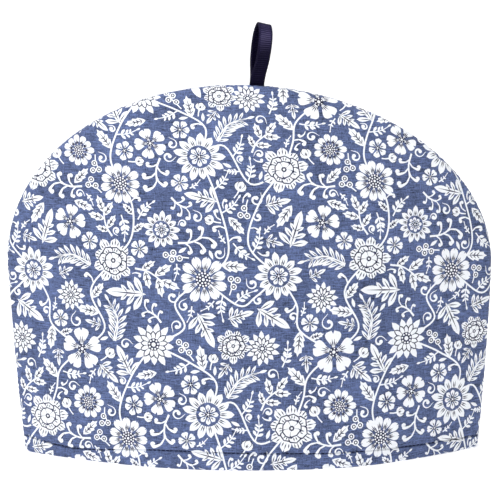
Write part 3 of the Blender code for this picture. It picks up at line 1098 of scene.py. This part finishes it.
def maths(tree, operation, *values):
    """A Math node over its inputs, each a socket or a number. Returns its output."""
    made = add(tree, "ShaderNodeMath", operation=operation)
    for socket, value in zip(made.inputs, values):
        if isinstance(value, (int, float)):
            socket.default_value = value
        else:
            link(tree, value, socket)
    return made.outputs[0]


def new_group(name, inputs, outputs, kind="ShaderNodeTree"):
    """A node group with named sockets."""
    group = bpy.data.node_groups.new(name, kind)
    for in_out, sockets in (("INPUT", inputs), ("OUTPUT", outputs)):
        for label, form in sockets:
            group.interface.new_socket(label, in_out=in_out, socket_type="NodeSocket" + form)
    return group, group.nodes.new("NodeGroupInput"), group.nodes.new("NodeGroupOutput")


# ---------------------------------------------------------------- stitches and ribs

def follow_tree(name, kind, lie=0.0, **form):
    """A node tree that sets one solid on each point, long along the point's own direction."""
    sizes = ("Length", "Width", "Height")
    inputs = (("Geometry", "Geometry"), *((label, "Float") for label in sizes), ("Finish", "Material"))
    tree, given, result = new_group(name, inputs, inputs[:1], "GeometryNodeTree")
    tree.is_modifier = True
    size = add(tree, "ShaderNodeCombineXYZ")
    for label, axis in zip(sizes, "XYZ"):
        link(tree, given.outputs[label], size.inputs[axis])
    along = add(tree, "GeometryNodeInputNamedAttribute", data_type="FLOAT_VECTOR", Name="along")
    away = add(tree, "GeometryNodeInputNamedAttribute", data_type="FLOAT_VECTOR", Name="away")
    head = add(tree, "FunctionNodeAlignRotationToVector", axis="X", pivot_axis="AUTO")
    turn = add(tree, "FunctionNodeAlignRotationToVector", axis="Z", pivot_axis="X")
    solid = add(tree, kind, Radius=0.5, **form)
    laid_down = add(tree, "GeometryNodeTransform", Rotation=(0.0, lie, 0.0))
    spread = add(tree, "GeometryNodeInstanceOnPoints")
    link(
        tree,
        along.outputs["Attribute"], head.inputs["Vector"],
        head.outputs["Rotation"], turn.inputs["Rotation"],
        away.outputs["Attribute"], turn.inputs["Vector"],
        solid.outputs["Mesh"], laid_down.inputs["Geometry"],
        given.outputs["Geometry"], spread.inputs["Points"],
        laid_down.outputs["Geometry"], spread.inputs["Instance"],
        turn.outputs["Rotation"], spread.inputs["Rotation"],
        size.outputs["Vector"], spread.inputs["Scale"],
    )
    made = spread.outputs["Instances"]
    for kind in ("GeometryNodeRealizeInstances", "GeometryNodeSetShadeSmooth", "GeometryNodeSetMaterial"):
        step = add(tree, kind)
        link(tree, made, step.inputs["Geometry"])
        made = step.outputs["Geometry"]
    link(tree, given.outputs["Finish"], step.inputs["Material"], made, result.inputs["Geometry"])
    return tree


def set_along(name, tree, places, along, away, sizes, material):
    """One piece of beads or bars at the places, made by the tree and kept as a plain mesh."""
    guide = make_object(name + "_guide", places, [], material)
    for label, values in (("along", along), ("away", away)):
        layer = guide.data.attributes.new(label, "FLOAT_VECTOR", "POINT")
        layer.data.foreach_set("vector", np.asarray(values, np.float32).reshape(-1))
    maker = guide.modifiers.new(name, "NODES")
    maker.node_group = tree
    inputs = [item for item in tree.interface.items_tree if item.in_out == "INPUT"]
    for item, value in zip(inputs[1:], (*sizes, material)):
        maker[item.identifier] = value
    seen = guide.evaluated_get(bpy.context.evaluated_depsgraph_get())
    mesh = bpy.data.meshes.new_from_object(seen)
    mesh.name = name
    made = bpy.data.objects.new(name, mesh)
    bpy.context.scene.collection.objects.link(made)
    bpy.data.objects.remove(guide)
    return made


def hem_stitches_and_ditch_shade(name, facing, dents, places, pale, tree, material):
    """A row of short dark stitches along the ditch over the hem, partly its thread and partly painted shade
    of the ditch, left out where a pale motif crosses it.
    """
    reach = FLAT_ACROSS[np.searchsorted(ACROSS, HEM_HALF - ROLL)]
    count = round(2 * reach / STITCH_PITCH)
    u = np.linspace(-reach, reach, count + 1)
    u = u[[pale[np.abs(places - at) < STITCH_LENGTH / 2].mean() < PALE_SHARE for at in u]]
    flat = np.stack([u, ditch_level(u, facing)], -1)
    step = np.array([0.0005, 0.0])
    along = laid(flat + step, facing, dents) - laid(flat - step, facing, dents)
    away = outward(flat, facing, dents)
    spots = laid(flat, facing, dents) + away * STITCH_RAISED
    sizes = (STITCH_LENGTH, STITCH_THICK, STITCH_THICK)
    return set_along(name, tree, spots, along, away, sizes, material)


# ---------------------------------------------------------------- the ribbon loop

def ribbon_line():
    """The ribbon's middle line from one sewn end to the other, as (distance from the seam plane, z)."""
    root = np.array([LEG_SPREAD, CROWN - ROOT_DEPTH])
    low = np.array([LEG_SPREAD, CROWN])
    top = np.array([0.0, CROWN + LOOP_HEIGHT - RIBBON_THICK / 2])
    rise = low + np.array([LEG_PARTING, LOOP_HEIGHT * 0.4])
    reach = top + np.array([LOOP_SWELL, -LOOP_SHOULDER])
    t = np.linspace(0, 1, 200)[:, None]
    s = 1 - t
    half = np.concatenate([[root], s**3 * low + 3 * s * s * t * rise + 3 * s * t * t * reach + t**3 * top])
    return np.concatenate([half * MIRROR, half[-2::-1]])


def ribbon_rows():
    """Middles, directions across and outward directions of the ribbon at even steps of its ribs."""
    line = ribbon_line()
    along = arc(line[:, 0], line[:, 1])
    count = round(along[-1] / RIB_PITCH)
    at = np.linspace(0, along[-1], count + 1)
    away, z = np.interp(at, along, line[:, 0]), np.interp(at, along, line[:, 1])
    share = np.maximum(0.0, (z - CROWN) / LOOP_HEIGHT)
    turn, tilt = LOOP_TURN * smooth(share * 2.4), LOOP_TILT * share**2
    x = LOOP_ROOT_X + LOOP_LEAN * share
    middle = np.stack([x - away * np.sin(turn), away * np.cos(turn), z], -1)
    across = unit(np.stack([np.cos(turn), np.sin(turn), -np.tan(tilt)], -1))
    return middle, across, unit(np.cross(np.gradient(middle, axis=0), across)), along[-1]


def ribbon_loop(material):
    """The ribbon as one closed strip with rounded selvedges."""
    middle, across, out, length = ribbon_rows()
    half, thick = RIBBON_WIDTH / 2, (RIBBON_THICK - RIB_HEIGHT) / 2
    turns = np.linspace(0, math.pi, 5)
    section = [(half - thick + thick * math.sin(turn), thick * math.cos(turn)) for turn in turns]
    section = [(half - 3 * thick, thick), *section, (half - 3 * thick, -thick)]
    section += [(-a, -b) for a, b in section]
    places = np.concatenate([middle + across * a + out * b for a, b in section])
    rows, sides = len(middle), len(section)
    faces = []
    for k in range(sides):
        after = (k + 1) % sides
        for row in range(rows - 1):
            faces.append((k * rows + row, k * rows + row + 1, after * rows + row + 1, after * rows + row))
    faces.append([k * rows for k in range(sides)])
    faces.append([k * rows + rows - 1 for k in reversed(range(sides))])
    return make_object("ribbon_loop", places, faces, material), length


def ribbon_ribs(tree, material):
    """The ribs across both faces of the ribbon."""
    middle, across, out, _ = ribbon_rows()
    half = (middle[1:] + middle[:-1]) / 2
    across, out = across[1:], out[1:]
    lift = (RIBBON_THICK - RIB_HEIGHT) / 2
    places = np.concatenate([half + out * lift, half - out * lift])
    sizes = (RIBBON_WIDTH - 0.0007, RIB_PITCH * 0.98, 2 * RIB_HEIGHT)
    both = np.concatenate([out, -out])
    return set_along("ribbon_ribs", tree, places, np.concatenate([across, across]), both, sizes, material)


# ---------------------------------------------------------------- finishes

GROUND_BLUE = (0.080, 0.110, 0.230)
PRINT_WHITE = (0.84, 0.86, 0.90)
LINE_NAVY = (0.024, 0.028, 0.070)
RIBBON_NAVY = (0.0012, 0.0005, 0.0095)
RIBBON_GLOSS = (0.62, 0.55, 1.0)
# Dark navy of the hem stitches: partly the thread's colour, partly painted shade of the ditch.
THREAD_AND_DITCH_SHADE_NAVY = (0.005, 0.006, 0.020)
PLAIN_GLOSS = (1.0, 1.0, 1.0)
WEAVE_PITCH = 0.0005
BUMP_HEIGHT = 0.0001
GROUND_HEATHER = 2.0
PALE_HEATHER = 0.12
THREAD_HEATHER = 0.5

# The yarn's unevenness: sizes along and across, fineness and weight of each noise. The last one is its fuzz.
YARN_NOISES = (
    ((0.0070, 0.0009), 2.0, 1.3),
    ((0.0009, 0.0050), 2.0, 0.7),
    ((0.0350, 0.0350), 2.0, 0.5),
    ((0.0009, 0.0009), 3.0, 1.0),
)
YARN_MIDDLE = 1.75


def heather_group():
    """Uneven yarn: slubs both ways of the cloth and slow mottling, as a shade round 1."""
    group, given, result = new_group(
        "heather", (("Vector", "Vector"), ("Strength", "Float")), (("Shade", "Float"), ("Fuzz", "Float")))
    total = -YARN_MIDDLE
    for (length, width), detail, weight in YARN_NOISES:
        spread = add(group, "ShaderNodeVectorMath", operation="MULTIPLY")
        spread.inputs[1].default_value = (1 / length, 1 / width, 1.0)
        noise = add(group, "ShaderNodeTexNoise", Scale=1.0, Detail=detail, Roughness=0.6)
        link(group, given.outputs["Vector"], spread.inputs[0], spread.outputs[0], noise.inputs["Vector"])
        total = maths(group, "MULTIPLY_ADD", noise.outputs["Fac"], weight, total)
    shade = maths(group, "MULTIPLY_ADD", total, given.outputs["Strength"], 1.0)
    link(group, shade, result.inputs["Shade"], noise.outputs["Fac"], result.inputs["Fuzz"])
    return group


def weave_group():
    """Plain weave: threads that pass over and under in turn, as a height from 0 to 1."""
    group, given, result = new_group(
        "plain_weave", (("Vector", "Vector"), ("Pitch", "Float")), (("Height", "Float"),))
    parts = add(group, "ShaderNodeSeparateXYZ")
    link(group, given.outputs["Vector"], parts.inputs[0])
    beat = maths(group, "DIVIDE", math.pi, given.outputs["Pitch"])
    waves = [maths(group, "SINE", maths(group, "MULTIPLY", parts.outputs[axis], beat)) for axis in ("X", "Y")]
    height = maths(group, "POWER", maths(group, "ABSOLUTE", maths(group, "MULTIPLY", *waves)), 0.6)
    link(group, height, result.inputs["Height"])
    return group


def new_material(name, roughness, sheen=0.0, gloss=0.5, tint=PLAIN_GLOSS):
    """A material with its shader's plain values set on the shader itself."""
    material = bpy.data.materials.new(name)
    material.use_nodes = True
    shader = material.node_tree.nodes["Principled BSDF"]
    shader.inputs["Roughness"].default_value = roughness
    shader.inputs["Sheen Weight"].default_value = sheen
    shader.inputs["Sheen Roughness"].default_value = 0.5
    shader.inputs["Specular IOR Level"].default_value = gloss
    shader.inputs["Specular Tint"].default_value = (*tint, 1)
    return material, material.node_tree, shader


def place_group(tree, group, vector, **values):
    """A node group in a material, fed with the way the cloth runs."""
    made = tree.nodes.new("ShaderNodeGroup")
    made.node_tree = group
    link(tree, vector, made.inputs["Vector"])
    for label, value in values.items():
        made.inputs[label].default_value = value
    return made


def tinted(tree, shader, colour, shade):
    """Gives the shader a colour, from a socket or as plain values, times a shade."""
    grey = add(tree, "ShaderNodeCombineColor")
    for channel in grey.inputs:
        link(tree, shade, channel)
    product = add(tree, "ShaderNodeMix", data_type="RGBA", blend_type="MULTIPLY", Factor=1.0)
    if isinstance(colour, tuple):
        product.inputs[6].default_value = (*colour, 1)
    else:
        link(tree, colour, product.inputs[6])
    link(tree, grey.outputs[0], product.inputs[7], product.outputs[2], shader.inputs["Base Color"])


def roughened(tree, shader, height, strength):
    """Gives the shader a fine bump."""
    bump = add(tree, "ShaderNodeBump", Strength=strength, Distance=BUMP_HEIGHT)
    link(tree, height, bump.inputs["Height"], bump.outputs["Normal"], shader.inputs["Normal"])


def printed_cotton(heather, weave):
    """Cotton with the print's three tones, heathered in the ground and faintly in the white."""
    material, tree, shader = new_material("printed_cotton", roughness=0.9, sheen=0.04, gloss=0.35)
    run = add(tree, "ShaderNodeUVMap", uv_map="cloth").outputs["UV"]
    tone = add(tree, "ShaderNodeAttribute", attribute_name="print").outputs["Fac"]
    ramp = add(tree, "ShaderNodeValToRGB")
    tones = ramp.color_ramp
    tones.interpolation = "CONSTANT"
    tones.elements[0].color = (*GROUND_BLUE, 1)
    tones.elements[1].position = 0.75
    tones.elements[1].color = (*LINE_NAVY, 1)
    tones.elements.new(0.25).color = (*PRINT_WHITE, 1)
    link(tree, maths(tree, "DIVIDE", tone, 2.0), ramp.inputs["Fac"])
    yarn = place_group(tree, heather, run, Strength=GROUND_HEATHER)
    pale_yarn = place_group(tree, heather, run, Strength=PALE_HEATHER)
    shade = add(tree, "ShaderNodeMix", data_type="FLOAT")
    link(tree, yarn.outputs["Shade"], shade.inputs["A"], pale_yarn.outputs["Shade"], shade.inputs["B"])
    link(tree, maths(tree, "COMPARE", tone, 1.0, 0.4), shade.inputs["Factor"])
    tinted(tree, shader, ramp.outputs["Color"], shade.outputs["Result"])
    threads = place_group(tree, weave, run, Pitch=WEAVE_PITCH)
    roughened(tree, shader, maths(tree, "ADD", threads.outputs["Height"], yarn.outputs["Fuzz"]), 0.35)
    return material


def thread_finish(name, heather, colour, roughness, gloss, tint=PLAIN_GLOSS):
    """Plain thread or ribbon, its colour a little uneven."""
    material, tree, shader = new_material(name, roughness, gloss=gloss, tint=tint)
    place = add(tree, "ShaderNodeTexCoord")
    yarn = place_group(tree, heather, place.outputs["Object"], Strength=THREAD_HEATHER)
    tinted(tree, shader, colour, yarn.outputs["Shade"])
    roughened(tree, shader, yarn.outputs["Fuzz"], 0.3)
    return material


# ---------------------------------------------------------------- the studio

VIEW_TARGET = Vector((0.0, 0.0, 0.13))
VIEW_DISTANCE = 1.2
VIEW_ELEVATION = math.radians(9.0)
VIEW_ROLL = math.radians(0.51)
SENSOR = 36.0
FOCAL_LENGTH = 119.6
SHIFT_UP = 0.044

# Light all round, the paper's own glow, and the narrow light that falls on the ribbon only.
SURROUND = 0.38
PAPER_GLOW = 0.50
GLINT_AIM = (0.012, -0.004, 0.3085)
GLINT_RADIUS = 0.023
GLINT_LAMP = 0.004


def placed(name, data, at, aim):
    """A camera or light at a place, turned to its aim."""
    made = bpy.data.objects.new(name, data)
    turn = (Vector(at) - Vector(aim)).to_track_quat("Z", "Y").to_matrix()
    made.matrix_world = Matrix.Translation(Vector(at)) @ turn.to_4x4()
    bpy.context.scene.collection.objects.link(made)
    return made


def add_camera():
    camera = bpy.data.cameras.new("camera")
    camera.sensor_width = SENSOR
    camera.lens = FOCAL_LENGTH
    camera.shift_y = SHIFT_UP
    camera.clip_start, camera.clip_end = 0.05, 30.0
    back = Vector((0.0, -math.cos(VIEW_ELEVATION), math.sin(VIEW_ELEVATION)))
    made = placed("camera", camera, VIEW_TARGET + back * VIEW_DISTANCE, VIEW_TARGET)
    made.matrix_world = made.matrix_world @ Matrix.Rotation(-VIEW_ROLL, 4, "Z")
    bpy.context.scene.camera = made


def add_light(name, at, size, power):
    """A soft square light that faces the cosy."""
    light = bpy.data.lights.new(name, "AREA")
    light.size = size
    light.energy = power
    placed(name, light, at, VIEW_TARGET)


def add_glint(name, at, power):
    """A narrow light that reaches no further than a small place."""
    light = bpy.data.lights.new(name, "SPOT")
    light.energy = power
    light.shadow_soft_size = GLINT_LAMP
    light.spot_size = 2 * math.atan(GLINT_RADIUS / (Vector(at) - Vector(GLINT_AIM)).length)
    light.spot_blend = 1.0
    placed(name, light, at, GLINT_AIM)


def add_backdrop():
    """A lit white floor that curves up into a wall behind."""
    material, _, shader = new_material("lit_paper", roughness=0.9)
    shader.inputs["Base Color"].default_value = (0.9, 0.9, 0.9, 1)
    shader.inputs["Emission Color"].default_value = (1.0, 1.0, 1.0, 1)
    shader.inputs["Emission Strength"].default_value = PAPER_GLOW
    bend, behind, high, wide = 0.8, 2.4, 4.0, 6.0
    turns = np.linspace(0, math.pi / 2, 24)
    bow = [(behind + bend * math.sin(turn), bend * (1 - math.cos(turn))) for turn in turns]
    section = [(-wide, 0.0), *bow, (behind + bend, high)]
    places = np.array([(side * wide, y, z) for y, z in section for side in (-1, 1)])
    faces = [(2 * k, 2 * k + 1, 2 * k + 3, 2 * k + 2) for k in range(len(section) - 1)]
    return make_object("backdrop", places, faces, material)


def add_surround():
    world = bpy.data.worlds.new("surround")
    bpy.context.scene.world = world
    world.use_nodes = True
    sky = world.node_tree.nodes["Background"]
    sky.inputs["Color"].default_value = (1.0, 1.0, 1.0, 1)
    sky.inputs["Strength"].default_value = SURROUND
    bpy.context.scene.view_settings.view_transform = "Standard"


# ---------------------------------------------------------------- making

add_camera()
add_surround()
add_light("key", (-0.62, -0.80, 1.30), size=0.8, power=10.3)
add_light("fill", (1.1, -1.3, 1.0), size=0.5, power=1.0)
add_light("overhead", (-0.3, -0.1, 1.5), size=1.4, power=15.0)
add_glint("ribbon_glint", (0.95, -1.15, 0.66), power=190.0)
add_backdrop()

shapes = draw_repeat()
heather, weave = heather_group(), weave_group()
cotton = printed_cotton(heather, weave)
ribbon = thread_finish("navy_ribbon", heather, RIBBON_NAVY, roughness=0.40, gloss=0.2, tint=RIBBON_GLOSS)
# The hem thread's dark navy is partly painted shade of the ditch.
thread = thread_finish("hem_thread_and_ditch_shade", heather, THREAD_AND_DITCH_SHADE_NAVY, roughness=0.8, gloss=0.05)
bead_tree = follow_tree("stitches", "GeometryNodeMeshUVSphere", Segments=8, Rings=6)
bar_tree = follow_tree(
    "ribs", "GeometryNodeMeshCylinder", math.pi / 2, Vertices=10, Side_Segments=7, Depth=1.0)

PANELS = (
    ("front", -1, FRONT_DENTS, 0j),
    ("back", 1, BACK_DENTS, 67 + 41j),
)
for label, facing, dents, shift in PANELS:
    panel, places, pale = padded_panel(f"printed_{label}", facing, dents, shapes, shift, cotton)
    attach(panel, "root")
    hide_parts(f"{label}_panel")
    # Dark stitches along each ditch: partly the hem's thread, partly painted shade of the ditch.
    stitches = hem_stitches_and_ditch_shade(f"hem_stitches_{label}", facing, dents, places, pale, bead_tree, thread)
    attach(stitches, "root")

loop, loop_length = ribbon_loop(ribbon)
ribs = ribbon_ribs(bar_tree, ribbon)
for piece in (loop, ribs):
    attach(piece, "root")
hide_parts("hanging_loop")
